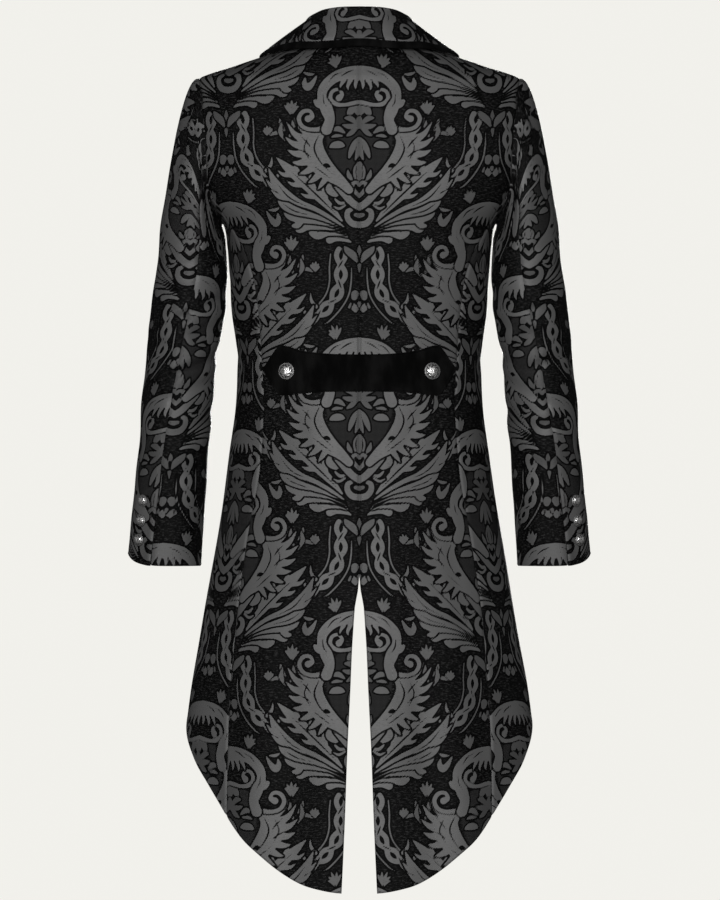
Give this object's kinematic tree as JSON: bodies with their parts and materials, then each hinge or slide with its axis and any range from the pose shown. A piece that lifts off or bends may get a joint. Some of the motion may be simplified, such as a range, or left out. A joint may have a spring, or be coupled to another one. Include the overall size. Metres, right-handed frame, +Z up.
{
  "type": "tailcoat",
  "caption": "Long cutaway coat with open vented tails, turned collar, two-piece sleeves and a buttoned half belt, filled out as worn.",
  "frame": {"origin": "midway between the two neck points, where the coat hangs on the wearer's shoulders", "axes": "+Z up, the coat faces +Y, the wearer's right is +X"},
  "size_m": [0.6032, 0.2976, 1.1414],
  "materials": {
    "damask": "black figured jacquard, near-black ribbed ground with grey satin scrolls",
    "velvet": "deep black velvet",
    "antique_metal": "antique silver, dark in the recesses"
  },
  "bodies": {
    "root": {"back_left": "damask", "side_body_left": "damask", "front_left": "damask", "top_sleeve_left": "damask", "under_sleeve_left": "damask", "lapel_left": "damask", "lapel_binding_left": "velvet", "belt_button_left": "antique_metal", "cuff_button_left_1": "antique_metal", "cuff_button_left_2": "antique_metal", "cuff_button_left_3": "antique_metal", "back_right": "damask", "side_body_right": "damask", "front_right": "damask", "top_sleeve_right": "damask", "under_sleeve_right": "damask", "lapel_right": "damask", "lapel_binding_right": "velvet", "belt_button_right": "antique_metal", "cuff_button_right_1": "antique_metal", "cuff_button_right_2": "antique_metal", "cuff_button_right_3": "antique_metal", "collar": "damask", "collar_binding": "velvet", "half_belt": "velvet", "front_button_1": "antique_metal", "front_button_2": "antique_metal", "front_button_3": "antique_metal"}
  },
  "joints": []
}
